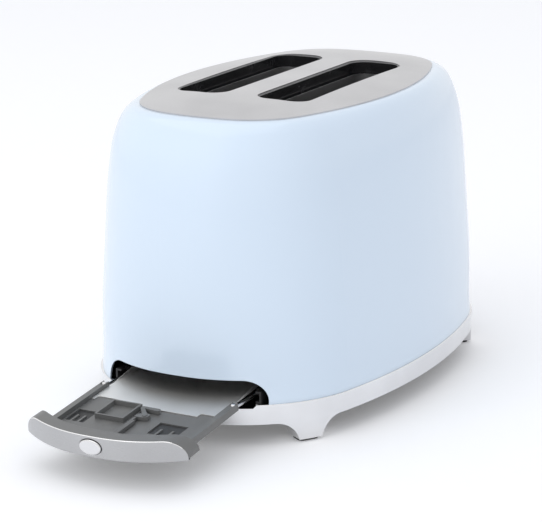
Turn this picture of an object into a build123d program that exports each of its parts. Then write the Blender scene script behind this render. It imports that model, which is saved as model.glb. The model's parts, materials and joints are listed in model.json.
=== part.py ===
from build123d import *
from math import atan2, cos, hypot, pi, radians, sin, sqrt
import os

# Two-slice toaster, millimetres, +Z up, standing on z = 0.
# X runs along the slots: the crumb tray comes out at -X, the lever and the dial are at +X.
# Everything is laid out about the housing's own middle and shifted once, when it is kept.

# Housing outline, a shape of eight tangent arcs that bulges on all four sides
base_half_length = 154.0
base_half_width = 97.3
base_end_radius = 220.0
base_side_radius = 383.0
base_corner_radius = 84.0
top_half_length = 120.5
top_half_width = 74.8
top_end_radius = 160.0
top_side_radius = 239.0
top_corner_radius = 43.8

# Heights
foot_pad_height = 1.6
band_bottom = 13.5
band_top = 26.0
crown_height = 198.0
crown_rise = 4.6
shoulder_drop = 50.4
rim_height = crown_height - crown_rise
shoulder_start = rim_height - shoulder_drop

# Shell
shell_wall = 1.4
shell_setback = 0.7
taper_share = 0.42
taper_power = 1.54
shoulder_power = 2.456
seat_width = 5.0

# Top plate and slots
plate_thickness = 1.2
plate_edge = 0.9
dome_reach = 36.0
slot_length = 143.0
slot_width = 36.7
slot_corner = 12.0
slot_pitch = 57.2
collar_wall = 1.2
collar_hang = 5.0
collar_bottom = rim_height - collar_hang
collar_gap = 0.1
mouth_inset = 2.4
mouth_wall = 0.8
mouth_lap = 1.2
mouth_top = collar_bottom + mouth_lap

# Band, feet and underside
band_wall = 1.8
bead_height = 1.2
bead_reach = 0.6
recess_half_width = 49.0
recess_depth = 2.2
recess_slope = 2.5
foot_angle = 56.5
foot_bottom_width = 15.5
foot_top_width = 46.0
foot_depth = 15.0
foot_root = 0.9
cover_thickness = 2.4
cover_height = 14.6
cover_gap = 0.3
vent_length = 34.0
vent_width = 3.2
vent_pitch = 8.0
vent_count = 9
screw_radius = 3.2
gland_radius = 6.5
gland_x = 62.0
gland_y = 52.0

# Heating chamber
sheet = 0.8
chamber_half_length = 77.0
chamber_half_width = 60.0
chamber_bottom = 72.0
chamber_drop = 19.4
chamber_top = rim_height - chamber_drop
leg_width = 7.0
heater_offset = 22.4
heater_board = 0.6
heater_half_length = 70.0
heater_bottom = 80.0
heater_drop = 7.0
heater_top = chamber_top - heater_drop
ribbon_count = 9
ribbon_height = 1.4
ribbon_depth = 0.4
guide_offset = 15.6
guide_bar = 2.0
guide_wire = 1.6
guide_wire_count = 7
guide_wire_pitch = 20.0
guide_bottom = 76.0
guide_drop = 6.0
guide_top = chamber_top - guide_drop
guide_travel = 5.0
guide_gap = 0.3

# Bread carriage
carriage_travel = 62.0
lever_height = 150.0
lifter_thickness = 3.0
lifter_height = 7.0
lifter_top = 146.0
cradle_half = 8.0
cradle_count = 6
cradle_pitch = 22.0
cradle_thickness = 1.6
bracket_x = 84.0
bracket_sheet = 2.0
bracket_half_width = 36.0
bracket_bottom = 132.0
bracket_top = 158.0
rod_x = 96.0
rod_y = 22.0
rod_radius = 2.5
rod_bottom = 20.4
rod_drop = 2.0
rod_top = chamber_top - rod_drop
bush_radius = 5.5
bush_clearance = 0.05
rod_foot_top = 28.0
spring_radius = 4.6
spring_wall = 1.4
lever_thickness = 3.0
lever_depth = 12.0
lever_slot_gap = 1.2
knob_x = 158.0
knob_length = 24.0
knob_radius = 13.0
armature_top = 134.0
armature_sheet = 2.0
armature_end = 114.0
armature_half_width = 7.0
magnet_gap = 0.4
magnet_radius = 5.0

# Controls
board_x = 122.0
board_sheet = 1.6
board_half_width = 46.0
board_bottom = 28.0
board_top = 74.0
dial_height = 50.0
dial_radius = 17.0
dial_depth = 14.0
dial_x = 156.6
dial_shaft_radius = 3.0
pot_radius = 8.5
pot_depth = 9.5
bezel_radius = 20.5
bezel_reach = 1.4
button_y = 31.0
button_low = 42.0
button_high = 60.0
button_radius = 5.5
button_gap = 0.3
button_travel = 1.2
button_reach = 3.0
switch_depth = 3.4

# Crumb tray, laid out closed and level, then tipped and drawn out
tray_pull = 91.0
tray_tip = 5.8
hinge_x = -67.0
hinge_height = 29.0
opening_half_width = 56.4
opening_top = 41.0
opening_corner_x = 14.0
front_half_width = 55.0
front_bottom = 26.6
front_top = 39.8
front_depth = 10.0
front_wall = 1.4
skirt_rise = 0.9
rail_outer = 47.4
rail_width = 4.0
rail_bottom = 26.9
rail_top = 31.4
carrier_floor = 1.4
carrier_back = -81.0
pan_half_width = 43.1
pan_start = -86.0
pan_end = 74.0
pan_sheet = 0.6
pan_wall = 8.0
wall_start = -58.0
runner_radius = 1.1
runner_end = -36.0
shoe_length = 20.0
shoe_outer = 50.0
track_gap = 0.3
track_wall = 1.2
pin_radius = 1.0
pin_clearance = 0.05
push_half_width = 7.3
push_half_height = 4.7
push_gap = 0.25
push_rounding = 1.0
push_reach = 1.2
push_travel = 1.6
cover_start = -121.0
cover_end = -87.0
cover_half_width = 40.0
cover_sheet = 0.5
latch_x = -100.0
latch_y = -3.5
latch_reach = 11.5
latch_pin_radius = 1.6
latch_height = 3.2
stem_half = 1.5
cheek = 0.6
eye_radius = 2.4

# The row's origin is under the middle of the whole toaster with its tray drawn out
front_arm = base_half_length - shell_setback + push_reach + hinge_x
front_rise = (front_bottom + front_top) / 2 + push_half_height - push_rounding - hinge_height
tipped_reach = front_arm * cos(radians(tray_tip)) + front_rise * sin(radians(tray_tip))
overall_front = hinge_x - tray_pull - tipped_reach
overall_back = knob_x + knob_length
row_shift = -(overall_front + overall_back) / 2

slot_ys = {"left": slot_pitch / 2, "right": -slot_pitch / 2}
in_row = Pos(row_shift, 0, 0)
drawn_out = (
    Pos(row_shift - tray_pull, 0, 0)
    * Pos(hinge_x, 0, hinge_height)
    * Rot(0, -tray_tip, 0)
    * Pos(-hinge_x, 0, -hinge_height)
)
runners_out = Pos(row_shift - tray_pull, 0, 0)

os.makedirs("parts", exist_ok=True)


def keep(piece, name, place=in_row):
    """Put a finished piece at its place in the row's frame and write it."""
    piece.part = place * piece.part
    piece.part.label = name
    export_step(piece.part, f"parts/{name}.step")


def corner_centre(half_length, half_width, end_radius, side_radius, corner_radius):
    """The centre of the corner arc that is tangent to an end arc and a side arc."""
    end_centre = half_length - end_radius
    side_centre = half_width - side_radius
    end_reach = end_radius - corner_radius
    side_reach = side_radius - corner_radius
    span = hypot(end_centre, side_centre)
    along = (end_reach**2 - side_reach**2 + span**2) / (2 * span)
    across = sqrt(end_reach**2 - along**2)
    ux = -end_centre / span
    uy = side_centre / span
    return end_centre + along * ux - across * uy, along * uy + across * ux


def plan_outline(half_length, half_width, end_radius, side_radius, corner_radius):
    """The closed plan outline: two end arcs, two side arcs, four corner arcs."""
    cx, cy = corner_centre(half_length, half_width, end_radius, side_radius, corner_radius)
    end_centre = half_length - end_radius
    side_centre = half_width - side_radius
    end_angle = atan2(cy, cx - end_centre)
    side_angle = atan2(cy - side_centre, cx)
    mid_angle = (end_angle + side_angle) / 2
    p = (cx + corner_radius * cos(end_angle), cy + corner_radius * sin(end_angle))
    m = (cx + corner_radius * cos(mid_angle), cy + corner_radius * sin(mid_angle))
    q = (cx + corner_radius * cos(side_angle), cy + corner_radius * sin(side_angle))
    with BuildSketch() as outline:
        with BuildLine():
            ThreePointArc((p[0], -p[1]), (half_length, 0), p)
            ThreePointArc(p, m, q)
            ThreePointArc(q, (0, half_width), (-q[0], q[1]))
            ThreePointArc((-q[0], q[1]), (-m[0], m[1]), (-p[0], p[1]))
            ThreePointArc((-p[0], p[1]), (-half_length, 0), (-p[0], -p[1]))
            ThreePointArc((-p[0], -p[1]), (-m[0], -m[1]), (-q[0], -q[1]))
            ThreePointArc((-q[0], -q[1]), (0, -half_width), (q[0], -q[1]))
            ThreePointArc((q[0], -q[1]), (m[0], -m[1]), (p[0], -p[1]))
        make_face()
    return outline.sketch


def base_outline(inset):
    """The band's outline, drawn in by the inset."""
    return plan_outline(
        base_half_length - inset,
        base_half_width - inset,
        base_end_radius - inset,
        base_side_radius - inset,
        base_corner_radius - inset,
    )


def shell_share(height):
    """How far the shell has drawn in at a height, from 0 at the band to 1 at the rim."""
    rise = (height - band_top) / (rim_height - band_top)
    turn = min(1.0, max(0.0, (height - shoulder_start) / (rim_height - shoulder_start)))
    shoulder = 1 - (1 - turn**shoulder_power) ** (1 / shoulder_power)
    return taper_share * rise**taper_power + (1 - taper_share) * shoulder


def shell_sizes(share, inset):
    """The outline's five sizes at one share of its drawing in, less the inset."""
    low = (
        base_half_length - shell_setback,
        base_half_width - shell_setback,
        base_end_radius,
        base_side_radius,
        base_corner_radius,
    )
    high = (top_half_length, top_half_width, top_end_radius, top_side_radius, top_corner_radius)
    return [start + (end - start) * share - inset for start, end in zip(low, high)]


def shell_outline(share, inset):
    """The shell's outline at one share of its drawing in, drawn in further by the inset."""
    return plan_outline(*shell_sizes(share, inset))


def shell_end_x(side_y, height):
    """How far the shell's end reaches in X at a place across it."""
    sizes = shell_sizes(shell_share(height), 0)
    cx, cy = corner_centre(*sizes)
    return cx + sqrt(sizes[4] ** 2 - max(0.0, abs(side_y) - cy) ** 2)


def shell_form(inset):
    """The housing's solid form; the inset moves every side and the top inwards."""
    heights = [band_top, 60, 95, 125, 148, 164, 176, 185, 190.5, 193, rim_height]
    with BuildPart() as form:
        for height in heights:
            lowered = height - inset * (height - band_top) / (rim_height - band_top)
            with BuildSketch(Plane.XY.offset(lowered)):
                add(shell_outline(shell_share(height), inset))
        loft()
    return form.part


def dome_form(inset, drop):
    """The top plate's low dome over a short straight edge."""
    steps = [0, 5, 11, 18, 27, dome_reach]
    edge_top = rim_height + plate_edge
    rise = crown_height - edge_top
    with BuildPart() as form:
        with BuildSketch(Plane.XY.offset(rim_height - drop)):
            add(shell_outline(1, inset))
        extrude(amount=plate_edge)
        for step in steps:
            height = edge_top + rise * (1 - (1 - step / dome_reach) ** 2) - drop
            with BuildSketch(Plane.XY.offset(height)):
                add(shell_outline(1, inset + step))
        loft()
    return form.part


def slot_prism(bottom, top, inset):
    """Both bread slots as upright prisms."""
    with BuildPart() as prism:
        with BuildSketch(Plane.XY.offset(bottom)):
            with GridLocations(1, slot_pitch, 1, 2):
                RectangleRounded(slot_length - 2 * inset, slot_width - 2 * inset, slot_corner - inset)
        extrude(amount=top - bottom)
    return prism.part


def arched_face(half_width, bottom, top, corner_x, drop):
    """An outline that is flat below, with elliptical upper corners; drop is its straight side."""
    corner_z = top - bottom - drop
    with BuildSketch() as outline:
        with BuildLine():
            Line((-half_width, bottom), (half_width, bottom))
            Line((half_width, bottom), (half_width, bottom + drop))
            EllipticalCenterArc(
                (half_width - corner_x, bottom + drop), corner_x, corner_z, start_angle=0, arc_size=90
            )
            Line((half_width - corner_x, top), (corner_x - half_width, top))
            EllipticalCenterArc(
                (corner_x - half_width, bottom + drop), corner_x, corner_z, start_angle=90, arc_size=90
            )
            Line((-half_width, bottom + drop), (-half_width, bottom))
        make_face()
    return outline.sketch


outer_form = shell_form(0)
inner_form = shell_form(shell_wall)

# Housing shell: pressed steel, open below, with a seat for the plate and its openings
lever_slot_bottom = lever_height - lever_depth / 2 - carriage_travel - lever_slot_gap
lever_slot_top = lever_height + lever_depth / 2 + lever_slot_gap
lever_slot_half = lever_thickness / 2 + lever_slot_gap
dial_hole_radius = dial_shaft_radius + 0.8
button_places = {
    "upper_left": (button_y, button_high),
    "lower_left": (button_y, button_low),
    "upper_right": (-button_y, button_high),
    "lower_right": (-button_y, button_low),
}
end_plane = Plane(origin=(board_x, 0, 0), x_dir=(0, 1, 0), z_dir=(1, 0, 0))
with BuildPart() as body_shell:
    add(outer_form)
    add(inner_form, mode=Mode.SUBTRACT)
    with BuildSketch(Plane.XY.offset(rim_height - 3 * shell_wall)):
        add(shell_outline(1, seat_width))
    extrude(amount=6 * shell_wall, mode=Mode.SUBTRACT)
    with BuildSketch(Plane(origin=(-base_half_length - 5, 0, 0), x_dir=(0, 1, 0), z_dir=(1, 0, 0))):
        add(arched_face(opening_half_width, band_top - 1, opening_top, opening_corner_x, 2.0))
    extrude(amount=60, mode=Mode.SUBTRACT)
    with BuildSketch(end_plane):
        with Locations((0, (lever_slot_bottom + lever_slot_top) / 2)):
            Rectangle(2 * lever_slot_half, lever_slot_top - lever_slot_bottom)
        with Locations((0, dial_height)):
            Circle(dial_hole_radius)
        with Locations(*button_places.values()):
            Circle(button_radius + button_gap)
    extrude(amount=60, mode=Mode.SUBTRACT)
keep(body_shell, "body_shell")

# Top plate: a low steel dome with two round-cornered slots
with BuildPart() as top_plate:
    add(dome_form(0, 0))
    add(dome_form(plate_thickness, plate_thickness), mode=Mode.SUBTRACT)
    add(slot_prism(rim_height, crown_height + 2, 0), mode=Mode.SUBTRACT)
keep(top_plate, "top_plate")

# A black collar and a sheet-metal mouth line each slot
for side, slot_y in slot_ys.items():
    with BuildPart() as collar:
        with BuildSketch(Plane.XY.offset(collar_bottom)):
            with Locations((0, slot_y)):
                RectangleRounded(
                    slot_length - 2 * collar_gap, slot_width - 2 * collar_gap, slot_corner - collar_gap
                )
                RectangleRounded(
                    slot_length - 2 * collar_gap - 2 * collar_wall,
                    slot_width - 2 * collar_gap - 2 * collar_wall,
                    slot_corner - collar_gap - collar_wall,
                    mode=Mode.SUBTRACT,
                )
        extrude(amount=crown_height - 1.2 - collar_bottom)
        with BuildSketch(Plane.XY.offset(rim_height + 0.9)):
            with Locations((0, slot_y)):
                RectangleRounded(slot_length + 6, slot_width + 6, slot_corner + 3)
                RectangleRounded(
                    slot_length - 2 * collar_wall, slot_width - 2 * collar_wall, slot_corner - 1, mode=Mode.SUBTRACT
                )
        extrude(amount=1.2)
    keep(collar, f"slot_collar_{side}")

    mouth_length = slot_length - 2 * (collar_gap + collar_wall + mouth_inset)
    mouth_width = slot_width - 2 * (collar_gap + collar_wall + mouth_inset)
    mouth_corner = slot_corner - collar_wall - mouth_inset
    with BuildPart() as mouth:
        with BuildSketch(Plane.XY.offset(chamber_top + sheet)):
            with Locations((0, slot_y)):
                RectangleRounded(mouth_length, mouth_width, mouth_corner)
                RectangleRounded(
                    mouth_length - 2 * mouth_wall,
                    mouth_width - 2 * mouth_wall,
                    mouth_corner - mouth_wall,
                    mode=Mode.SUBTRACT,
                )
        extrude(amount=mouth_top - chamber_top - sheet)
        with BuildSketch(Plane.XY.offset(chamber_top + sheet)):
            with Locations((0, slot_y)):
                RectangleRounded(mouth_length + 8, mouth_width + 8, mouth_corner + 4)
                RectangleRounded(
                    mouth_length - 2 * mouth_wall,
                    mouth_width - 2 * mouth_wall,
                    mouth_corner - mouth_wall,
                    mode=Mode.SUBTRACT,
                )
        extrude(amount=mouth_wall)
    keep(mouth, f"slot_mouth_{side}")

# Base band: a polished ring with a bead on top and four feet that flare out of it


def foot_block(x_side, y_side):
    """One foot, a flared tab drawn square to the outline's corner."""
    angle = radians(foot_angle)
    normal = (x_side * cos(angle), y_side * sin(angle), 0)
    tangent = (-normal[1], normal[0], 0)
    with BuildPart() as corner:
        with BuildSketch():
            add(base_outline(0))
        extrude(amount=band_bottom + 2)
    cx, cy = corner_centre(
        base_half_length, base_half_width, base_end_radius, base_side_radius, base_corner_radius
    )
    at = (
        x_side * cx + base_corner_radius * normal[0],
        y_side * cy + base_corner_radius * normal[1],
        0,
    )
    with BuildPart() as foot:
        with BuildSketch(Plane(origin=at, x_dir=tangent, z_dir=normal)):
            with BuildLine():
                half_low = foot_bottom_width / 2
                half_high = foot_top_width / 2
                Line((-half_low, foot_pad_height), (half_low, foot_pad_height))
                Spline(
                    (half_low, foot_pad_height),
                    (half_low + 4.2, band_bottom - 4.5),
                    (half_high, band_bottom),
                    tangents=[(0.25, 1), (1, 0)],
                )
                Line((half_high, band_bottom), (half_high, band_bottom + foot_root))
                Line((half_high, band_bottom + foot_root), (-half_high, band_bottom + foot_root))
                Line((-half_high, band_bottom + foot_root), (-half_high, band_bottom))
                Spline(
                    (-half_high, band_bottom),
                    (-half_low - 4.2, band_bottom - 4.5),
                    (-half_low, foot_pad_height),
                    tangents=[(1, 0), (0.25, -1)],
                )
            make_face()
        extrude(amount=6)
        extrude(to_extrude=foot.faces().sort_by(Axis((0, 0, 0), normal))[0], amount=foot_depth, dir=(-normal[0], -normal[1], 0))
        add(corner.part, mode=Mode.INTERSECT)
    with BuildPart() as pad:
        with BuildSketch(Plane(origin=(at[0], at[1], 0), x_dir=tangent, z_dir=(0, 0, 1))):
            with Locations((0, -foot_depth / 2 if cross_sign(tangent, normal) > 0 else foot_depth / 2)):
                RectangleRounded(foot_bottom_width - 2, foot_depth - 4, 3)
        extrude(amount=foot_pad_height)
    return foot.part, pad.part


def cross_sign(tangent, normal):
    """+1 where the plane's second direction points outwards."""
    second = (-tangent[1], tangent[0])
    return 1 if second[0] * normal[0] + second[1] * normal[1] > 0 else -1


feet = [foot_block(x_side, y_side) for x_side in (-1, 1) for y_side in (-1, 1)]
with BuildPart() as base_band:
    with BuildSketch(Plane.XY.offset(band_bottom)):
        add(base_outline(0))
    extrude(amount=band_top - band_bottom)
    with BuildSketch(Plane.XY.offset(band_top - bead_height)):
        add(base_outline(-bead_reach))
    extrude(amount=bead_height)
    fillet(base_band.edges().group_by(Axis.Z)[-1], 0.5)
    with BuildSketch(Plane.XY.offset(band_bottom - 1)):
        add(base_outline(band_wall))
    extrude(amount=band_top - band_bottom + 2, mode=Mode.SUBTRACT)
    with BuildSketch(Plane.YZ.offset(-base_half_length - 15)):
        with BuildLine():
            Polyline(
                (-recess_half_width - recess_slope, band_top + 1),
                (-recess_half_width - recess_slope, band_top + 0.4),
                (-recess_half_width, band_top - recess_depth),
                (recess_half_width, band_top - recess_depth),
                (recess_half_width + recess_slope, band_top + 0.4),
                (recess_half_width + recess_slope, band_top + 1),
                close=True,
            )
        make_face()
    extrude(amount=30, mode=Mode.SUBTRACT)
    for foot, pad in feet:
        add(foot)
keep(base_band, "base_band")

with BuildPart() as foot_pads:
    for foot, pad in feet:
        add(pad)
keep(foot_pads, "foot_pads")

# Black bottom cover inside the band: vents, screw holes and the gland's hole
screw_xs = (-96.0, 96.0)
screw_ys = (-64.0, 64.0)
with BuildPart() as bottom_cover:
    with BuildSketch(Plane.XY.offset(cover_height)):
        add(base_outline(band_wall + cover_gap))
    extrude(amount=cover_thickness)
    with BuildSketch(Plane.XY.offset(cover_height)):
        with GridLocations(vent_length + 8, vent_pitch, 2, vent_count):
            SlotOverall(vent_length, vent_width)
        with Locations(*[(x, y) for x in screw_xs for y in screw_ys]):
            Circle(screw_radius + cover_gap)
        with Locations((gland_x, -gland_y)):
            Circle(gland_radius + cover_gap)
    extrude(amount=cover_thickness, mode=Mode.SUBTRACT)
keep(bottom_cover, "bottom_cover")

with BuildPart() as bottom_screws:
    with BuildSketch(Plane.XY.offset(cover_height - 1)):
        with Locations(*[(x, y) for x in screw_xs for y in screw_ys]):
            Circle(screw_radius)
    extrude(amount=cover_thickness + 3)
    with BuildSketch(Plane.XY.offset(cover_height - 1)):
        with Locations(*[(x, y) for x in screw_xs for y in screw_ys]):
            Rectangle(4.4, 1.0)
            Rectangle(1.0, 4.4)
    extrude(amount=1.2, mode=Mode.SUBTRACT)
keep(bottom_screws, "bottom_screws")

# Rubber gland with a through bore and a flange either side of the cover
with BuildPart() as cord_gland:
    with Locations((gland_x, -gland_y, cover_height - 1.5)):
        Cylinder(gland_radius + 2.5, 1.4, align=(Align.CENTER, Align.CENTER, Align.MIN))
        Cylinder(gland_radius, cover_thickness + 4, align=(Align.CENTER, Align.CENTER, Align.MIN))
        Cylinder(3.4, 40, mode=Mode.SUBTRACT)
    with Locations((gland_x, -gland_y, cover_height + cover_thickness + 0.1)):
        Cylinder(gland_radius + 1.5, 1.4, align=(Align.CENTER, Align.CENTER, Align.MIN))
        Cylinder(3.4, 40, mode=Mode.SUBTRACT)
keep(cord_gland, "cord_gland")

# Chassis: two upright end plates on legs, a top plate, side reflectors and a divider
cover_top = cover_height + cover_thickness
guide_ys = {
    f"{side}_{place}": (slot_y, slot_y + sign * guide_offset, -sign)
    for side, slot_y in slot_ys.items()
    for place, sign in (("inner", -1 if slot_y > 0 else 1), ("outer", 1 if slot_y > 0 else -1))
}


def end_plate(x, lifter_slots):
    """An upright chassis plate with windows for the guide bars and, at one end, the lifters."""
    with BuildPart() as plate:
        with BuildSketch(Plane(origin=(x, 0, 0), x_dir=(0, 1, 0), z_dir=(1, 0, 0))):
            with Locations((0, (chamber_bottom + chamber_top) / 2)):
                Rectangle(2 * chamber_half_width, chamber_top - chamber_bottom)
            for sign in (-1, 1):
                with Locations((sign * (chamber_half_width - leg_width / 2), (cover_top + chamber_bottom) / 2)):
                    Rectangle(leg_width, chamber_bottom - cover_top)
            for slot_y, rest_y, inward in guide_ys.values():
                middle = rest_y + inward * guide_travel / 2
                width = guide_travel + guide_bar + 2 * guide_gap
                for height in (guide_bottom, guide_top):
                    with Locations((middle, height)):
                        Rectangle(width, guide_bar + 2 * guide_gap, mode=Mode.SUBTRACT)
            if lifter_slots:
                top = lifter_top + 1
                bottom = lifter_top - lifter_height - carriage_travel - 1
                for slot_y in slot_ys.values():
                    with Locations((slot_y, (top + bottom) / 2)):
                        Rectangle(lifter_thickness + 1.2, top - bottom, mode=Mode.SUBTRACT)
        extrude(amount=sheet)
        with BuildSketch(Plane.XY.offset(cover_top)):
            for sign in (-1, 1):
                foot_x = x + sheet / 2 + (6 if x > 0 else -6)
                with Locations((foot_x, sign * (chamber_half_width - leg_width / 2))):
                    Rectangle(12, leg_width)
        extrude(amount=sheet)
    return plate


keep(end_plate(chamber_half_length, True), "chassis_front")
keep(end_plate(-chamber_half_length - sheet, False), "chassis_rear")

with BuildPart() as chassis_top:
    with BuildSketch(Plane.XY.offset(chamber_top)):
        Rectangle(2 * chamber_half_length + 2 * sheet + 16, 2 * chamber_half_width)
    extrude(amount=sheet)
    add(slot_prism(chamber_top - 1, chamber_top + 2, collar_gap + collar_wall + mouth_inset + mouth_wall),
        mode=Mode.SUBTRACT)
keep(chassis_top, "chassis_top")

for side, sign in (("left", 1), ("right", -1)):
    with BuildPart() as reflector:
        with BuildSketch(Plane.YZ.offset(-chamber_half_length)):
            with BuildLine():
                Polyline(
                    (sign * (chamber_half_width - 10), chamber_bottom - 8),
                    (sign * (chamber_half_width - sheet), chamber_bottom + 2),
                    (sign * (chamber_half_width - sheet), chamber_top),
                    (sign * chamber_half_width, chamber_top),
                    (sign * chamber_half_width, chamber_bottom + 1.6),
                    (sign * (chamber_half_width - 9.4), chamber_bottom - 8.6),
                    close=True,
                )
            make_face()
        extrude(amount=2 * chamber_half_length)
    keep(reflector, f"side_reflector_{side}")

with BuildPart() as centre_divider:
    with BuildSketch(Plane.YZ.offset(-chamber_half_length)):
        with Locations((0, (chamber_bottom + chamber_top) / 2)):
            Rectangle(sheet, chamber_top - chamber_bottom)
        with Locations((0, chamber_bottom + sheet / 2)):
            Rectangle(5, sheet)
    extrude(amount=2 * chamber_half_length)
keep(centre_divider, "centre_divider")

# Heaters: mica boards wound with flat ribbon on the side that faces the bread
for name, (slot_y, rest_y, inward) in guide_ys.items():
    board_y = slot_y - inward * heater_offset
    with BuildPart() as heater:
        with BuildSketch(Plane.YZ.offset(-heater_half_length)):
            with Locations((board_y, (heater_bottom + heater_top) / 2)):
                Rectangle(heater_board, heater_top - heater_bottom)
        extrude(amount=2 * heater_half_length)
        pitch = (heater_top - heater_bottom) / (ribbon_count + 1)
        with BuildSketch(Plane.YZ.offset(-heater_half_length + 6)):
            for k in range(ribbon_count):
                with Locations((board_y + inward * (heater_board + ribbon_depth) / 2, heater_bottom + (k + 1) * pitch)):
                    Rectangle(ribbon_depth, ribbon_height)
        extrude(amount=2 * heater_half_length - 12)
        with BuildSketch(Plane.YZ.offset(-chamber_half_length)):
            with Locations((board_y, (heater_bottom + heater_top) / 2)):
                Rectangle(heater_board, 12)
        extrude(amount=2 * chamber_half_length)
    keep(heater, f"heater_{name}")

# Self-centring bread guides: wire grids whose bars slide in the end plates' windows
for name, (slot_y, rest_y, inward) in guide_ys.items():
    with BuildPart() as guide:
        with BuildSketch(Plane.YZ.offset(-chamber_half_length - 3)):
            with Locations((rest_y, guide_bottom), (rest_y, guide_top)):
                Rectangle(guide_bar, guide_bar)
        extrude(amount=2 * chamber_half_length + 6)
        with BuildSketch(Plane.XY.offset(guide_bottom)):
            with Locations((0, rest_y)):
                with GridLocations(guide_wire_pitch, 1, guide_wire_count, 1):
                    RegularPolygon(guide_wire / 2, 8)
        extrude(amount=guide_top - guide_bottom)
    keep(guide, f"bread_guide_{name}")

# Bread lifters: one bar under each slice, with cross pieces that cradle it
for side, slot_y in slot_ys.items():
    with BuildPart() as lifter:
        with BuildSketch(Plane.YZ.offset(-chamber_half_length + 5)):
            with Locations((slot_y, lifter_top - lifter_height / 2)):
                Rectangle(lifter_thickness, lifter_height)
        extrude(amount=bracket_x + chamber_half_length - 5)
        with BuildSketch(Plane.XY.offset(lifter_top - 2)):
            with Locations((0, slot_y)):
                with GridLocations(cradle_pitch, 1, cradle_count, 1):
                    Rectangle(cradle_thickness, 2 * cradle_half)
        extrude(amount=2)
    keep(lifter, f"bread_lifter_{side}")

# Carriage bracket: an upright plate with two bushes that run on the guide rods
with BuildPart() as carriage_bracket:
    with BuildSketch(Plane.YZ.offset(bracket_x)):
        with Locations((0, (bracket_bottom + bracket_top) / 2)):
            RectangleRounded(2 * bracket_half_width, bracket_top - bracket_bottom, 4)
    extrude(amount=bracket_sheet)
    for sign in (-1, 1):
        with Locations((rod_x, sign * rod_y, (bracket_bottom + bracket_top) / 2)):
            Cylinder(bush_radius, bracket_top - bracket_bottom)
        with Locations(((bracket_x + rod_x) / 2, sign * rod_y, (bracket_bottom + bracket_top) / 2)):
            Box(rod_x - bracket_x, 6, bracket_top - bracket_bottom)
        with Locations((rod_x, sign * rod_y, bracket_top)):
            Hole(rod_radius + bush_clearance)
keep(carriage_bracket, "carriage_bracket")

# Lever arm with its round knob, and the armature that the magnet holds down
with BuildPart() as lever_arm:
    with BuildSketch(Plane.YZ.offset(bracket_x + bracket_sheet)):
        with Locations((0, lever_height)):
            RectangleRounded(lever_thickness, lever_depth, 1)
    extrude(amount=knob_x + 8 - bracket_x - bracket_sheet)
keep(lever_arm, "lever_arm")

with BuildPart() as lever_knob:
    with BuildSketch(Plane.XZ):
        with BuildLine():
            Line((knob_x, 0), (knob_x, knob_radius * 0.55))
            Spline(
                (knob_x, knob_radius * 0.55),
                (knob_x + 4, knob_radius * 0.62),
                (knob_x + 13, knob_radius),
                (knob_x + 21, knob_radius * 0.72),
                (knob_x + knob_length, 0),
                tangents=[(1, 0), (0, -1)],
            )
            Line((knob_x + knob_length, 0), (knob_x, 0))
        make_face()
    revolve(axis=Axis.X)
    with BuildSketch(Plane.YZ.offset(knob_x)):
        RectangleRounded(lever_thickness, lever_depth, 1)
    extrude(amount=8, mode=Mode.SUBTRACT)
lever_knob.part = Pos(0, 0, lever_height) * lever_knob.part
keep(lever_knob, "lever_knob")

with BuildPart() as armature:
    with BuildSketch(Plane.XY.offset(armature_top - armature_sheet)):
        with Locations(((bracket_x + bracket_sheet + armature_end) / 2, 0)):
            Rectangle(armature_end - bracket_x - bracket_sheet, 2 * armature_half_width)
    extrude(amount=armature_sheet)
    fillet(armature.edges().filter_by(Axis.Z).group_by(Axis.X)[-1], 2)
keep(armature, "armature")

# Guide rods, their foot and the springs that push the carriage up
with BuildPart() as guide_rods:
    with BuildSketch(Plane.XY.offset(rod_bottom)):
        with Locations((rod_x, rod_y), (rod_x, -rod_y)):
            Circle(rod_radius)
    extrude(amount=rod_top - rod_bottom)
keep(guide_rods, "guide_rods")

with BuildPart() as rod_foot:
    with BuildSketch(Plane.XY.offset(cover_top)):
        with Locations((rod_x, 0)):
            RectangleRounded(16, 2 * rod_y + 18, 4)
    extrude(amount=rod_foot_top - cover_top)
    with BuildSketch(Plane.XY.offset(rod_bottom)):
        with Locations((rod_x, rod_y), (rod_x, -rod_y)):
            Circle(rod_radius)
    extrude(amount=rod_foot_top, mode=Mode.SUBTRACT)
keep(rod_foot, "rod_foot")

with BuildPart() as rod_bridge:
    with BuildSketch(Plane.XY.offset(rod_top - 3)):
        with Locations(((chamber_half_length + sheet + rod_x + 7) / 2, 0)):
            Rectangle(rod_x + 7 - chamber_half_length - sheet, 2 * rod_y + 16)
        with Locations((rod_x, rod_y), (rod_x, -rod_y)):
            Circle(rod_radius, mode=Mode.SUBTRACT)
    extrude(amount=3)
keep(rod_bridge, "rod_bridge")

with BuildPart() as carriage_springs:
    with BuildSketch(Plane.XY.offset(rod_foot_top)):
        with Locations((rod_x, rod_y), (rod_x, -rod_y)):
            Circle(spring_radius)
            Circle(spring_radius - spring_wall, mode=Mode.SUBTRACT)
    extrude(amount=bracket_bottom - rod_foot_top)
keep(carriage_springs, "carriage_springs")

# Holding magnet: a coil on a steel core, stood on the rod foot's front edge
magnet_x = armature_end - 5
magnet_top = armature_top - armature_sheet - carriage_travel - magnet_gap
with BuildPart() as hold_magnet:
    with BuildSketch(Plane.XY.offset(cover_top)):
        with Locations((magnet_x, 0)):
            Rectangle(9, 20)
    extrude(amount=8)
    with BuildSketch(Plane.XY.offset(cover_top + 8)):
        with Locations((magnet_x, 0)):
            Circle(magnet_radius - 2)
    extrude(amount=magnet_top - cover_top - 8)
    with BuildSketch(Plane.XY.offset(magnet_top - 24)):
        with Locations((magnet_x, 0)):
            Circle(magnet_radius)
    extrude(amount=20)
keep(hold_magnet, "hold_magnet")

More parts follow.
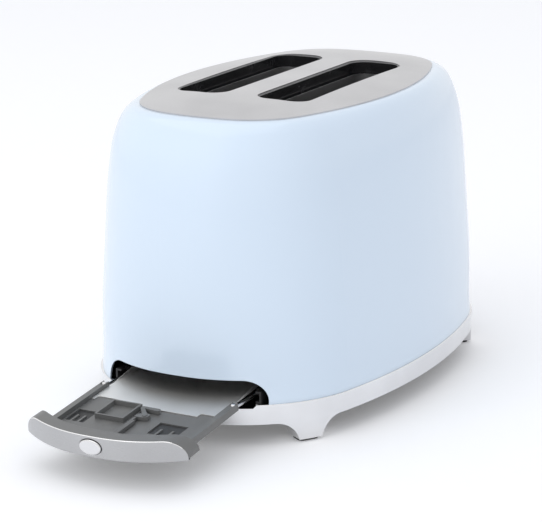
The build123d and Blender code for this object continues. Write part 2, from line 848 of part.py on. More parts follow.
# Circuit board with its switch blocks, and the browning control
switch_x = board_x + board_sheet
with BuildPart() as circuit_board:
    with BuildSketch(Plane.YZ.offset(board_x)):
        with Locations((0, (board_bottom + board_top) / 2)):
            Rectangle(2 * board_half_width, board_top - board_bottom)
    extrude(amount=board_sheet)
    with BuildSketch(Plane.YZ.offset(switch_x)):
        with Locations(*button_places.values()):
            Rectangle(7, 7)
    extrude(amount=switch_depth)
    with BuildSketch(Plane.YZ.offset(board_x)):
        for sign in (-1, 1):
            with Locations((sign * (board_half_width - 4), (cover_top + board_bottom) / 2)):
                Rectangle(5, board_bottom - cover_top)
    extrude(amount=board_sheet)
keep(circuit_board, "circuit_board")

with BuildPart() as dial_potentiometer:
    with BuildSketch(Plane.YZ.offset(switch_x)):
        with Locations((0, dial_height)):
            Circle(pot_radius)
    extrude(amount=pot_depth)
keep(dial_potentiometer, "dial_potentiometer")

with BuildPart() as dial_shaft:
    with BuildSketch(Plane.YZ.offset(switch_x + pot_depth + 0.3)):
        with Locations((0, dial_height)):
            Circle(dial_shaft_radius)
    extrude(amount=dial_x + 8 - switch_x - pot_depth - 0.3)
keep(dial_shaft, "dial_shaft")

with BuildPart() as browning_dial:
    with BuildSketch(Plane.YZ.offset(dial_x)):
        with Locations((0, dial_height)):
            Circle(dial_radius)
    extrude(amount=dial_depth, taper=4)
    fillet(browning_dial.edges().filter_by(GeomType.CIRCLE).group_by(Axis.X)[-1], 2)
    with BuildSketch(Plane.YZ.offset(dial_x)):
        with Locations((0, dial_height)):
            Circle(dial_shaft_radius)
    extrude(amount=8, mode=Mode.SUBTRACT)
    with BuildSketch(Plane.YZ.offset(dial_x + dial_depth - 0.8)):
        with Locations((0, dial_height + dial_radius * 0.55)):
            SlotOverall(7, 1.4, rotation=90)
    extrude(amount=2, mode=Mode.SUBTRACT)
keep(browning_dial, "browning_dial")

bezel_form = shell_form(-bezel_reach)
with BuildPart() as dial_bezel:
    with BuildSketch(Plane.YZ.offset(board_x)):
        with Locations((0, dial_height)):
            Circle(bezel_radius)
            Circle(dial_radius + 0.8, mode=Mode.SUBTRACT)
    extrude(amount=60)
    add(bezel_form, mode=Mode.INTERSECT)
    add(outer_form, mode=Mode.SUBTRACT)
keep(dial_bezel, "dial_bezel")

with BuildPart() as lever_slot_trim:
    with BuildSketch(Plane.YZ.offset(board_x)):
        with Locations((0, (lever_slot_bottom + lever_slot_top) / 2)):
            SlotOverall(lever_slot_top - lever_slot_bottom + 12, 2 * lever_slot_half + 7, rotation=90)
            Rectangle(2 * lever_slot_half, lever_slot_top - lever_slot_bottom, mode=Mode.SUBTRACT)
    extrude(amount=60)
    add(bezel_form, mode=Mode.INTERSECT)
    add(outer_form, mode=Mode.SUBTRACT)
keep(lever_slot_trim, "lever_slot_trim")

# Push buttons: a cap, a flange behind the shell and a stem that reaches the switch
for name, (place_y, place_z) in button_places.items():
    face_x = shell_end_x(place_y, place_z)
    far_x = shell_end_x(abs(place_y) + button_radius + 1.6, place_z)
    flange_x = far_x - shell_wall - button_travel - 1.8
    stem_x = switch_x + switch_depth + button_travel + 0.4
    with BuildPart() as button:
        with BuildSketch(Plane.YZ.offset(flange_x)):
            with Locations((place_y, place_z)):
                Circle(button_radius)
        extrude(amount=face_x + button_reach - flange_x)
        fillet(button.edges().filter_by(GeomType.CIRCLE).group_by(Axis.X)[-1], 1.2)
        with BuildSketch(Plane.YZ.offset(flange_x)):
            with Locations((place_y, place_z)):
                Circle(button_radius + 1.4)
        extrude(amount=1.2)
        with BuildSketch(Plane.YZ.offset(stem_x)):
            with Locations((place_y, place_z)):
                Circle(1.8)
        extrude(amount=flange_x - stem_x)
    keep(button, f"button_{name}")

# Tray tracks: two channels on the bottom cover that the runners slide in
shoe_inner = rail_outer - rail_width + 0.1
shoe_bottom = rail_bottom
shoe_top = rail_top
track_front = -base_half_length + 18
with BuildPart() as tray_tracks:
    for sign in (-1, 1):
        with BuildSketch(Plane.YZ.offset(track_front)):
            with BuildLine():
                inner = sign * (rail_outer + track_gap)
                outer = sign * (shoe_outer + track_gap)
                skin = sign * (shoe_outer + track_gap + track_wall)
                Polyline(
                    (inner, cover_top),
                    (inner, shoe_bottom - track_gap),
                    (outer, shoe_bottom - track_gap),
                    (outer, shoe_top + track_gap),
                    (sign * (shoe_outer - 2.4), shoe_top + track_gap),
                    (sign * (shoe_outer - 2.4), shoe_top + track_gap + track_wall),
                    (skin, shoe_top + track_gap + track_wall),
                    (skin, cover_top),
                    close=True,
                )
            make_face()
        extrude(amount=runner_end + shoe_length + 6 - track_front)
keep(tray_tracks, "tray_tracks")

# Tray front: a pressed cap with the opening's outline, hollow behind
with BuildPart() as body_prism:
    with BuildSketch(Plane.XY.offset(band_top - 2)):
        add(base_outline(shell_setback))
    extrude(amount=20)
with BuildPart() as front_back:
    with BuildSketch(Plane.XY.offset(band_top - 2)):
        add(base_outline(shell_setback + front_depth))
    extrude(amount=20)
with BuildPart() as front_hollow:
    with BuildSketch(Plane.XY.offset(band_top - 2)):
        add(base_outline(shell_setback + front_wall))
    extrude(amount=20)
tray_plane = Plane(origin=(-base_half_length - 5, 0, 0), x_dir=(0, 1, 0), z_dir=(1, 0, 0))
front_corner_x = opening_corner_x - 1
push_height = (front_bottom + front_top) / 2
with BuildPart() as front_blank:
    with BuildSketch(tray_plane):
        add(arched_face(front_half_width, front_bottom, front_top, front_corner_x, 1.4))
    extrude(amount=60)
    add(body_prism.part, mode=Mode.INTERSECT)
    add(front_back.part, mode=Mode.SUBTRACT)
with BuildPart() as cap_hollow:
    with BuildSketch(tray_plane):
        add(
            arched_face(
                front_half_width - front_wall,
                front_bottom - 2,
                front_top - front_wall,
                front_corner_x - front_wall,
                3.4,
            )
        )
    extrude(amount=60)
    add(front_hollow.part, mode=Mode.INTERSECT)
with BuildPart() as tray_front:
    add(front_blank.part)
    add(cap_hollow.part, mode=Mode.SUBTRACT)
    with BuildSketch(tray_plane):
        with Locations((0, push_height)):
            Ellipse(push_half_width + push_gap, push_half_height + push_gap)
    extrude(amount=20, mode=Mode.SUBTRACT)
    with BuildSketch(Plane.XY.offset(front_bottom - 1)):
        add(base_outline(shell_setback + front_wall + 0.4))
    extrude(amount=skirt_rise + 1, mode=Mode.SUBTRACT)
keep(tray_front, "tray_front", drawn_out)

# Tray carrier: grey moulding with two rails, a pocketed floor and the latch's box
rail_front = -base_half_length + 18
rail_inner = rail_outer - rail_width
floor_top = rail_bottom + carrier_floor
push_x = -base_half_length + shell_setback
with BuildPart() as web_ring:
    with BuildSketch(Plane.XY.offset(rail_bottom)):
        add(base_outline(shell_setback + front_wall + 4.0))
        add(base_outline(shell_setback + front_wall + 5.4), mode=Mode.SUBTRACT)
    extrude(amount=front_top - front_wall - 0.2 - rail_bottom)
    with Locations((-base_half_length, 0, push_height)):
        Box(60, 2 * (rail_inner - 2), 40, mode=Mode.INTERSECT)
        Box(60, 2 * push_half_width + 1, 2 * push_half_height + 1, mode=Mode.SUBTRACT)
    with Locations((-base_half_length, 0, floor_top + 2)):
        Box(60, 2 * stem_half + 1.0, 5, mode=Mode.SUBTRACT)
with BuildPart() as floor_form:
    with BuildSketch(Plane.XY.offset(rail_bottom)):
        add(base_outline(shell_setback + front_wall + 0.3))
    extrude(amount=carrier_floor)
with BuildPart() as tray_carrier:
    with BuildSketch(Plane.XY.offset(rail_bottom)):
        with Locations(((-base_half_length + carrier_back) / 2, 0)):
            Rectangle(carrier_back + base_half_length, 2 * rail_inner + 1)
        with Locations((-109, 35.5)):
            Rectangle(16, 13, mode=Mode.SUBTRACT)
        with Locations((-108, -24)):
            Rectangle(16, 19, mode=Mode.SUBTRACT)
        with BuildLine():
            Polyline((-96, 4.5), (-88.5, 4.5), (-88.5, -1), close=True)
        make_face(mode=Mode.SUBTRACT)
    extrude(amount=carrier_floor)
    add(floor_form.part, mode=Mode.INTERSECT)
    with BuildSketch(Plane.XY.offset(rail_bottom)):
        for y in (33, 38, -20, -28):
            with Locations((-112.5, y)):
                Rectangle(9, 1.4)
    extrude(amount=carrier_floor)
    with BuildSketch(Plane.XY.offset(rail_bottom)):
        with Locations(((cover_start + cover_end) / 2, 0)):
            Rectangle(cover_end - cover_start, 2 * cover_half_width)
    extrude(amount=cover_sheet, mode=Mode.SUBTRACT)
    add(web_ring.part)
    for sign in (-1, 1):
        rail_y = sign * (rail_outer - rail_width / 2)
        with BuildSketch(Plane.XY.offset(rail_bottom)):
            with Locations(((rail_front + hinge_x - 3.2) / 2, rail_y)):
                Rectangle(hinge_x - 3.2 - rail_front, rail_width)
            with Locations((hinge_x - 1, rail_y)):
                Rectangle(5.4, rail_width)
                Rectangle(5.4, rail_width - 2 * cheek, mode=Mode.SUBTRACT)
            with BuildLine():
                Polyline(
                    (carrier_back - 1, sign * (rail_inner + 1)),
                    (carrier_back - 1, sign * (rail_inner - 12)),
                    (hinge_x - 3.2, sign * (rail_inner + 1)),
                    close=True,
                )
            make_face()
        extrude(amount=carrier_floor)
        with BuildSketch(Plane.XY.offset(rail_bottom)):
            with Locations(((rail_front + hinge_x - 3.2) / 2, rail_y)):
                Rectangle(hinge_x - 3.2 - rail_front, rail_width)
            with Locations((hinge_x - 1, rail_y)):
                Rectangle(5.4, rail_width)
                Rectangle(5.4, rail_width - 2 * cheek, mode=Mode.SUBTRACT)
        extrude(amount=rail_top - rail_bottom)
        with BuildSketch(Plane.XZ.offset(-rail_y - rail_width / 2)):
            with Locations((hinge_x, hinge_height)):
                Circle(pin_radius)
        extrude(amount=rail_width)
    with BuildSketch(Plane.XY.offset(floor_top)):
        with Locations((-98, 16)):
            Rectangle(22, 20)
            Rectangle(19.6, 17.6, mode=Mode.SUBTRACT)
        with Locations((latch_x, latch_y)):
            Circle(latch_pin_radius)
    extrude(amount=latch_height)
keep(tray_carrier, "tray_carrier", drawn_out)

# Dark plate let into the carrier's underside, below its pockets
with BuildPart() as pocket_plate:
    with BuildSketch(Plane.XY.offset(rail_bottom)):
        with Locations(((cover_start + cover_end) / 2, 0)):
            Rectangle(cover_end - cover_start, 2 * cover_half_width)
    extrude(amount=cover_sheet)
keep(pocket_plate, "pocket_plate", drawn_out)

# Crumb pan: folded sheet that rests on the carrier's floor and lies between its rails
with BuildPart() as crumb_pan:
    with BuildSketch(Plane.XY.offset(floor_top)):
        with Locations(((pan_start + pan_end) / 2, 0)):
            Rectangle(pan_end - pan_start, 2 * pan_half_width)
        with Locations((pan_start, 34), (pan_start, -38)):
            RectangleRounded(9, 14, 1.5, mode=Mode.SUBTRACT)
    extrude(amount=pan_sheet)
    with BuildSketch(Plane.XY.offset(floor_top)):
        with Locations((pan_end - pan_sheet / 2, 0)):
            Rectangle(pan_sheet, 2 * pan_half_width)
        for sign in (-1, 1):
            with Locations(((wall_start + pan_end) / 2, sign * (pan_half_width - pan_sheet / 2))):
                Rectangle(pan_end - wall_start, pan_sheet)
    extrude(amount=pan_wall)
keep(crumb_pan, "crumb_pan", drawn_out)

# Push button in the tray's front, with a stem back to the latch
stem_end = latch_x - 3.6
finger = 4.0
with BuildPart() as tray_button:
    with BuildSketch(Plane.YZ.offset(push_x - push_reach)):
        with Locations((0, push_height)):
            Ellipse(push_half_width, push_half_height)
    extrude(amount=push_reach + front_wall + 1.6)
    fillet(tray_button.edges().group_by(Axis.X)[0], push_rounding)
    with BuildSketch(Plane.YZ.offset(push_x + front_wall + 1.0)):
        with Locations((0, (floor_top + 0.4 + push_height) / 2)):
            Rectangle(2 * stem_half, push_height - floor_top - 0.4)
    extrude(amount=1.2)
    with BuildSketch(Plane.XY.offset(floor_top + 0.4)):
        with BuildLine():
            Polyline(
                (push_x + front_wall + 1.0, -stem_half),
                (stem_end - finger, -stem_half),
                (stem_end - finger, 0),
                (stem_end, 0),
                (stem_end, stem_half),
                (push_x + front_wall + 1.0, stem_half),
                close=True,
            )
        make_face()
    extrude(amount=2.2)
keep(tray_button, "tray_button", drawn_out)

# Latch: a flat hook that turns on the carrier's pin when the stem pushes it
with BuildPart() as tray_latch:
    with BuildSketch(Plane.XY.offset(floor_top + 0.3)):
        with BuildLine():
            Polyline(
                (latch_x - 3.0, latch_y + 3.3),
                (latch_x - 3.0, latch_y + 5.3),
                (latch_x, latch_y + 5.3),
                (latch_x + 2.6, latch_y + 3.4),
                (latch_x + latch_reach - 3, latch_y + 8),
                (latch_x + latch_reach, latch_y + 8),
                (latch_x + latch_reach, latch_y - 4),
                (latch_x + latch_reach - 2.4, latch_y - 5),
                (latch_x + latch_reach - 3.4, latch_y - 3.6),
                (latch_x + latch_reach - 2.6, latch_y + 5.2),
                (latch_x + 3.0, latch_y),
                (latch_x + 2.6, latch_y - 2.4),
                (latch_x - 1.5, latch_y - 2.8),
                (latch_x - 2.8, latch_y),
                close=True,
            )
        make_face()
        with Locations((latch_x, latch_y)):
            Circle(latch_pin_radius + pin_clearance, mode=Mode.SUBTRACT)
    extrude(amount=2.4)
keep(tray_latch, "tray_latch", drawn_out)

# Runners: a steel rod each side with an eye on the carrier's hinge pin, and a sliding shoe
with BuildPart() as tray_runners:
    for sign in (-1, 1):
        rod_middle_y = sign * (rail_outer - rail_width / 2)
        eye_width = rail_width - 2 * cheek - 0.4
        with BuildSketch(Plane.XZ.offset(-rod_middle_y - eye_width / 2)):
            with Locations((hinge_x, hinge_height)):
                Circle(eye_radius)
        extrude(amount=eye_width)
        with BuildSketch(Plane.YZ.offset(hinge_x + 1)):
            with Locations((rod_middle_y, hinge_height)):
                Circle(runner_radius)
        extrude(amount=runner_end + 8 - hinge_x - 1)
        with BuildSketch(Plane.XZ.offset(-rod_middle_y - eye_width / 2 - 1)):
            with Locations((hinge_x, hinge_height)):
                Circle(pin_radius + pin_clearance)
        extrude(amount=eye_width + 2, mode=Mode.SUBTRACT)
keep(tray_runners, "tray_runners", runners_out)

with BuildPart() as runner_shoes:
    for sign in (-1, 1):
        rod_middle_y = sign * (rail_outer - rail_width / 2)
        shoe_middle_y = sign * (shoe_inner + shoe_outer) / 2
        with BuildSketch(Plane.YZ.offset(runner_end)):
            with Locations((shoe_middle_y, (shoe_bottom + shoe_top) / 2)):
                RectangleRounded(shoe_outer - shoe_inner, shoe_top - shoe_bottom, 0.8)
        extrude(amount=shoe_length)
        with BuildSketch(Plane.YZ.offset(runner_end)):
            with Locations((rod_middle_y, hinge_height)):
                Circle(runner_radius)
        extrude(amount=8, mode=Mode.SUBTRACT)
keep(runner_shoes, "runner_shoes", runners_out)
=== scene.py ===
import json
import math

import bmesh
import bpy
from mathutils import Matrix, Vector


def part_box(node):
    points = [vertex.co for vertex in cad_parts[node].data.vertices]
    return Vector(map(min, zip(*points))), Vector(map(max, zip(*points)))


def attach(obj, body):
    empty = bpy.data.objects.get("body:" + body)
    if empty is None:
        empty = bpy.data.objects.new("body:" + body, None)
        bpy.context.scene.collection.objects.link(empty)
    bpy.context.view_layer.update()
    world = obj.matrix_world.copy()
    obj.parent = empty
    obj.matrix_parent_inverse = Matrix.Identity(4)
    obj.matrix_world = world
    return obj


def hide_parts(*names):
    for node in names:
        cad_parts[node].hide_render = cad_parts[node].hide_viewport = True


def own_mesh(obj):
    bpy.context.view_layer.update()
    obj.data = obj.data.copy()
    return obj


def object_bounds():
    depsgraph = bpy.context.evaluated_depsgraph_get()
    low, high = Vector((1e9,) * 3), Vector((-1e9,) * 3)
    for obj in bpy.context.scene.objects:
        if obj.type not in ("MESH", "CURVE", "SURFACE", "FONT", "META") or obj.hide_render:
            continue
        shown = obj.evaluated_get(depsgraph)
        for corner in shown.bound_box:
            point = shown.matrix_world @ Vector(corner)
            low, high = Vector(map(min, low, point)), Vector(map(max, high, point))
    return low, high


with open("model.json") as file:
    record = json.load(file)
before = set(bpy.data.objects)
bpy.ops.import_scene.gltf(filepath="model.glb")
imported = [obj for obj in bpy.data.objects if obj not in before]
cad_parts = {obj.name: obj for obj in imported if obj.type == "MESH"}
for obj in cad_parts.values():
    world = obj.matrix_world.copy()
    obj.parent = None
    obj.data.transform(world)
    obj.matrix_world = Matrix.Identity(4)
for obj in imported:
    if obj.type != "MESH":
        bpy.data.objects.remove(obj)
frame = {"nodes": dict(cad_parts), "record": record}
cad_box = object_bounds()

nodes = frame["nodes"]
slot_of = {part["node"]: part["material_slot"] for part in frame["record"]["subparts"]}


# Node helpers

def feed(tree, source, socket):
    """Link a socket to its source, or set it where the source is a plain value."""
    if isinstance(source, bpy.types.NodeSocket):
        tree.links.new(source, socket)
    else:
        socket.default_value = source


def noise(tree, vector, scale, detail, rough=0.5):
    """A noise value over the surface. Its scale is a number or another node's socket."""
    node = tree.nodes.new("ShaderNodeTexNoise")
    node.inputs["Detail"].default_value = detail
    node.inputs["Roughness"].default_value = rough
    tree.links.new(vector, node.inputs["Vector"])
    feed(tree, scale, node.inputs["Scale"])
    return node.outputs["Fac"]


def spread(tree, value, low, high, new_low=0.0, new_high=1.0):
    """A value between low and high, stretched to lie between two new limits."""
    node = tree.nodes.new("ShaderNodeMapRange")
    node.inputs["From Min"].default_value = low
    node.inputs["From Max"].default_value = high
    node.inputs["To Min"].default_value = new_low
    node.inputs["To Max"].default_value = new_high
    tree.links.new(value, node.inputs["Value"])
    return node.outputs["Result"]


def joined(tree, operation, first, second):
    """Two values joined by one step of arithmetic."""
    node = tree.nodes.new("ShaderNodeMath")
    node.operation = operation
    feed(tree, first, node.inputs[0])
    feed(tree, second, node.inputs[1])
    return node.outputs["Value"]


def object_place(tree):
    """The place on the object, which stays with the surface when its body moves."""
    return tree.nodes.new("ShaderNodeTexCoord").outputs["Object"]


# Node groups for the effects that several finishes share

def new_group(name, inputs, outputs):
    """A shader node group with named sockets, ready for its nodes."""
    tree = bpy.data.node_groups.new(name, "ShaderNodeTree")
    for label, kind, value in inputs:
        socket = tree.interface.new_socket(label, in_out="INPUT", socket_type="NodeSocket" + kind)
        socket.default_value = value
    for label, kind in outputs:
        tree.interface.new_socket(label, in_out="OUTPUT", socket_type="NodeSocket" + kind)
    entry = tree.nodes.new("NodeGroupInput")
    leave = tree.nodes.new("NodeGroupOutput")
    return tree, entry, leave


def drawn_lines():
    """Fine straight lines left by brushing or drawing, long in the direction with the low stretch."""
    tree, entry, leave = new_group(
        "drawn_lines",
        [("Stretch", "Vector", (1.0, 1.0, 1.0)), ("Scale", "Float", 400.0)],
        [("Lines", "Float"), ("Patches", "Float")],
    )
    place = object_place(tree)
    stretched = tree.nodes.new("ShaderNodeVectorMath")
    stretched.operation = "MULTIPLY"
    tree.links.new(place, stretched.inputs[0])
    tree.links.new(entry.outputs["Stretch"], stretched.inputs[1])
    fine = noise(tree, stretched.outputs["Vector"], entry.outputs["Scale"], 4.0, 0.65)
    tree.links.new(spread(tree, fine, 0.3, 0.7), leave.inputs["Lines"])
    broad = noise(tree, place, 22.0, 2.0)
    tree.links.new(spread(tree, broad, 0.35, 0.68), leave.inputs["Patches"])
    return tree


def skin_ripple():
    """The slow ripple of sprayed enamel and the faint haze that handling leaves on it."""
    tree, entry, leave = new_group(
        "skin_ripple",
        [("Scale", "Float", 120.0)],
        [("Ripple", "Float"), ("Haze", "Float")],
    )
    place = object_place(tree)
    ripple = noise(tree, place, entry.outputs["Scale"], 2.0, 0.4)
    tree.links.new(ripple, leave.inputs["Ripple"])
    haze = noise(tree, place, 9.0, 2.0)
    tree.links.new(spread(tree, haze, 0.42, 0.72), leave.inputs["Haze"])
    return tree


def mould_grain():
    """The grain of a spark-eroded mould, with dust caught in it."""
    tree, entry, leave = new_group(
        "mould_grain",
        [("Scale", "Float", 1500.0)],
        [("Grain", "Float"), ("Dust", "Float")],
    )
    place = object_place(tree)
    grain = noise(tree, place, entry.outputs["Scale"], 2.0, 0.6)
    tree.links.new(grain, leave.inputs["Grain"])
    dust = noise(tree, place, 60.0, 6.0, 0.7)
    tree.links.new(spread(tree, dust, 0.5, 0.75), leave.inputs["Dust"])
    return tree


LINES = drawn_lines()
RIPPLE = skin_ripple()
GRAIN = mould_grain()


# Finishes

def blank(name, colour, metallic, coat=0.0, coat_rough=0.05):
    """A material of one plain colour, ready for its nodes."""
    material = bpy.data.materials.new(name)
    material.use_nodes = True
    material.diffuse_color = (*colour, 1.0)
    shader = material.node_tree.nodes["Principled BSDF"]
    shader.inputs["Base Color"].default_value = (*colour, 1.0)
    shader.inputs["Metallic"].default_value = metallic
    shader.inputs["Coat Weight"].default_value = coat
    shader.inputs["Coat Roughness"].default_value = coat_rough
    return material, material.node_tree, shader


def place_group(tree, group, **values):
    """One of the shared effects, placed in a material with its own values."""
    node = tree.nodes.new("ShaderNodeGroup")
    node.node_tree = group
    for label, value in values.items():
        node.inputs[label].default_value = value
    return node


def tint(tree, shader, mask, first, second):
    """Two colours of one finish, mixed by a mask into the base colour."""
    mix = tree.nodes.new("ShaderNodeMix")
    mix.data_type = "RGBA"
    # The node has sockets for each kind of data: these are its two colours and their mix
    first_colour, second_colour, mixed = mix.inputs[6], mix.inputs[7], mix.outputs[2]
    tree.links.new(mask, mix.inputs["Factor"])
    first_colour.default_value = (*first, 1.0)
    second_colour.default_value = (*second, 1.0)
    tree.links.new(mixed, shader.inputs["Base Color"])


def rough_between(tree, shader, mask, rough):
    """A roughness that runs between two values with a mask."""
    low, high = rough
    tree.links.new(spread(tree, mask, 0.0, 1.0, low, high), shader.inputs["Roughness"])


def relief(tree, shader, height, strength, depth):
    """Fine unevenness of the surface, from a height."""
    bump = tree.nodes.new("ShaderNodeBump")
    bump.inputs["Strength"].default_value = strength
    bump.inputs["Distance"].default_value = depth
    tree.links.new(height, bump.inputs["Height"])
    tree.links.new(bump.outputs["Normal"], shader.inputs["Normal"])


def steel(name, colour, shade, rough, stretch, scale=400.0, depth=0.00004, strength=0.2):
    """Bare metal with its drawing lines, and patches that are a little duller."""
    material, tree, shader = blank(name, colour, 1.0)
    lines = place_group(tree, LINES, Stretch=stretch, Scale=scale)
    tint(tree, shader, lines.outputs["Patches"], colour, shade)
    rough_between(tree, shader, lines.outputs["Lines"], rough)
    relief(tree, shader, lines.outputs["Lines"], strength, depth)
    return material


def enamel(name, colour, shade, rough, coat):
    """Sprayed and baked gloss paint."""
    material, tree, shader = blank(name, colour, 0.0, coat, coat_rough=0.12)
    ripple = place_group(tree, RIPPLE, Scale=90.0)
    tint(tree, shader, ripple.outputs["Haze"], colour, shade)
    rough_between(tree, shader, ripple.outputs["Haze"], rough)
    relief(tree, shader, ripple.outputs["Ripple"], strength=0.05, depth=0.0003)
    return material


def moulded(name, colour, dusty, rough, scale=1500.0, depth=0.00005, coat=0.0):
    """Moulded plastic, mica or rubber with the mould's grain and a little dust."""
    material, tree, shader = blank(name, colour, 0.0, coat)
    grain = place_group(tree, GRAIN, Scale=scale)
    tint(tree, shader, grain.outputs["Dust"], colour, dusty)
    rough_between(tree, shader, grain.outputs["Dust"], rough)
    relief(tree, shader, grain.outputs["Grain"], strength=0.3, depth=depth)
    return material


# Each material slot of the record, with its finish: a colour, the colour of its duller or dusty
# patches, the range of its roughness and, for metal, how far its lines are drawn out along X, Y and Z
FINISHES = {
    "shell_gloss": enamel("pale_blue_enamel", (0.69, 0.80, 0.915), (0.68, 0.79, 0.908), (0.23, 0.27), 0.6),
    "plate_satin": steel(
        "satin_top_steel", (0.56, 0.56, 0.575), (0.50, 0.50, 0.515), (0.27, 0.40), (1.0, 14.0, 4.0)
    ),
    "band_polished": steel(
        "polished_band_steel", (0.78, 0.78, 0.79), (0.71, 0.71, 0.72), (0.05, 0.11),
        (1.0, 1.0, 14.0), scale=250.0, depth=0.00002, strength=0.1
    ),
    "collar_black": moulded(
        "black_slot_collar", (0.012, 0.012, 0.013), (0.03, 0.03, 0.032), (0.22, 0.36), coat=0.3
    ),
    "mouth_sheet": steel(
        "pressed_mouth_sheet", (0.42, 0.42, 0.43), (0.30, 0.30, 0.31), (0.3, 0.5), (1.0, 1.0, 10.0)
    ),
    "cover_black": moulded("black_cover_moulding", (0.02, 0.02, 0.021), (0.06, 0.06, 0.06), (0.5, 0.7)),
    "pad_rubber": moulded(
        "foot_pad_rubber", (0.03, 0.03, 0.03), (0.09, 0.09, 0.085), (0.75, 0.9), scale=800.0
    ),
    "zinc_sheet": steel(
        "zinc_chassis_sheet", (0.48, 0.49, 0.50), (0.36, 0.36, 0.37), (0.3, 0.52), (1.0, 1.0, 6.0)
    ),
    "mica": moulded(
        "heater_mica_board", (0.42, 0.35, 0.25), (0.55, 0.50, 0.40), (0.35, 0.6), scale=300.0, depth=0.0001
    ),
    "steel_wire": steel(
        "bright_guide_wire", (0.60, 0.60, 0.60), (0.45, 0.42, 0.38), (0.2, 0.38), (1.0, 1.0, 1.0)
    ),
    "rod_steel": steel(
        "ground_rod_steel", (0.68, 0.68, 0.69), (0.58, 0.58, 0.59), (0.12, 0.25), (1.0, 12.0, 12.0)
    ),
    "knob_black": moulded(
        "black_knob_moulding", (0.014, 0.014, 0.015), (0.035, 0.035, 0.036), (0.2, 0.34), coat=0.5
    ),
    "trim_chrome": steel(
        "polished_button_trim", (0.76, 0.76, 0.77), (0.68, 0.68, 0.69), (0.06, 0.14),
        (1.0, 4.0, 4.0), scale=300.0, depth=0.00002, strength=0.1
    ),
    "board_green": moulded(
        "coated_circuit_board", (0.03, 0.14, 0.06), (0.06, 0.19, 0.09), (0.25, 0.4), scale=500.0
    ),
    "copper_winding": steel(
        "enamelled_winding", (0.55, 0.24, 0.10), (0.42, 0.17, 0.07), (0.25, 0.4), (1.0, 1.0, 20.0)
    ),
    "grey_plastic": moulded(
        "grey_tray_moulding", (0.145, 0.145, 0.142), (0.19, 0.188, 0.18), (0.42, 0.6), scale=1200.0
    ),
    "pan_sheet": steel(
        "crumb_pan_sheet", (0.80, 0.80, 0.80), (0.70, 0.695, 0.68), (0.42, 0.58), (14.0, 1.0, 1.0)
    ),
    "front_satin": steel(
        "satin_tray_front", (0.50, 0.50, 0.505), (0.46, 0.46, 0.465), (0.26, 0.34),
        (2.0, 1.0, 10.0), depth=0.00001, strength=0.1
    ),
    "shoe_black": moulded("runner_shoe_moulding", (0.02, 0.02, 0.02), (0.05, 0.05, 0.05), (0.45, 0.65)),
}

for node, piece in nodes.items():
    piece.data.materials.clear()
    piece.data.materials.append(FINISHES[slot_of[node]])


# Pieces that replace nodes of the CAD model

def new_piece(name, builder):
    """The mesh that was built, as an object in the scene."""
    mesh = bpy.data.meshes.new(name)
    builder.to_mesh(mesh)
    builder.free()
    piece = bpy.data.objects.new(name, mesh)
    bpy.context.collection.objects.link(piece)
    return piece


def stand_for(piece, node, body):
    """The piece takes a node's place and moves with its body."""
    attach(piece, body)
    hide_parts(node)


def eased_edges(node, name, body, width):
    """A copy of a node with its sharp edges eased, as pressing or moulding leaves them."""
    weld_reach = 0.000002
    flat_angle = math.radians(0.5)
    sharp_angle = math.radians(40)
    builder = bmesh.new()
    builder.from_mesh(nodes[node].data)
    bmesh.ops.remove_doubles(builder, verts=builder.verts, dist=weld_reach)
    bmesh.ops.dissolve_limit(builder, angle_limit=flat_angle, verts=builder.verts, edges=builder.edges)
    sharp = [edge for edge in builder.edges if edge.calc_face_angle(0.0) > sharp_angle]
    bmesh.ops.bevel(
        builder, geom=sharp, offset=width, segments=3, profile=0.5, affect="EDGES", clamp_overlap=False
    )
    bmesh.ops.recalc_face_normals(builder, faces=builder.faces)
    piece = new_piece(name, builder)
    stand_for(piece, node, body)
    return piece


def wound_spring(name, middle, low, high, reach, wire, turns):
    """An open coil of round wire, of a given outer radius, with a nearly flat turn at each end."""
    turn_steps = 20
    wire_sides = 8
    end_rise = 0.03
    rise = high - low - 2 * wire
    builder = bmesh.new()
    rings = []
    for step in range(turns * turn_steps + 1):
        turn = step / turn_steps
        open_share = min(max(turn - 1.0, 0.0), turns - 2.0) / (turns - 2.0)
        height = low + wire + rise * (end_rise * min(turn, 1.0) + (1.0 - 2 * end_rise) * open_share)
        height += rise * end_rise * max(turn - (turns - 1.0), 0.0)
        angle = turn * 2 * math.pi
        ring = []
        for side in range(wire_sides):
            around = side * 2 * math.pi / wire_sides
            out = reach - wire + wire * math.cos(around)
            x = middle[0] + out * math.cos(angle)
            y = middle[1] + out * math.sin(angle)
            ring.append(builder.verts.new((x, y, height + wire * math.sin(around))))
        rings.append(ring)
    for first, second in zip(rings, rings[1:]):
        for side in range(wire_sides):
            after = (side + 1) % wire_sides
            builder.faces.new((first[side], first[after], second[after], second[side]))
    builder.faces.new(rings[0][::-1])
    builder.faces.new(rings[-1])
    bmesh.ops.recalc_face_normals(builder, faces=builder.faces)
    piece = new_piece(name, builder)
    piece.data.shade_smooth()
    return piece


# Tray front: a bright pressing with a rolled upper edge, over the grey moulding that shows at its
# top and ends. The outward bevel faces of the upper edge take a near-white, smoother steel: a painted
# highlight
tray_front = eased_edges("tray_front", "tray_front_pressing", "tray", width=0.0006)
# Near-white, smoother copy of the pressing's steel: a painted highlight along the upper edge
edge_highlight_steel = steel(
    "painted_edge_highlight", (0.93, 0.93, 0.935), (0.88, 0.88, 0.885), (0.1, 0.2),
    (2.0, 1.0, 10.0), depth=0.00001, strength=0.1
)
PRESSING, BACKING, EDGE_HIGHLIGHT = range(3)
facing_out = -0.3
facing_up = 0.3
for finish in (FINISHES["front_satin"], FINISHES["grey_plastic"], edge_highlight_steel):
    tray_front.data.materials.append(finish)
# Outward faces that tilt upward take the painted highlight, other outward faces the pressing, the rest the
# grey moulding
for face in tray_front.data.polygons:
    face.use_smooth = False
    if face.normal.x >= facing_out:
        face.material_index = BACKING
    elif face.normal.z > facing_up:
        face.material_index = EDGE_HIGHLIGHT
    else:
        face.material_index = PRESSING
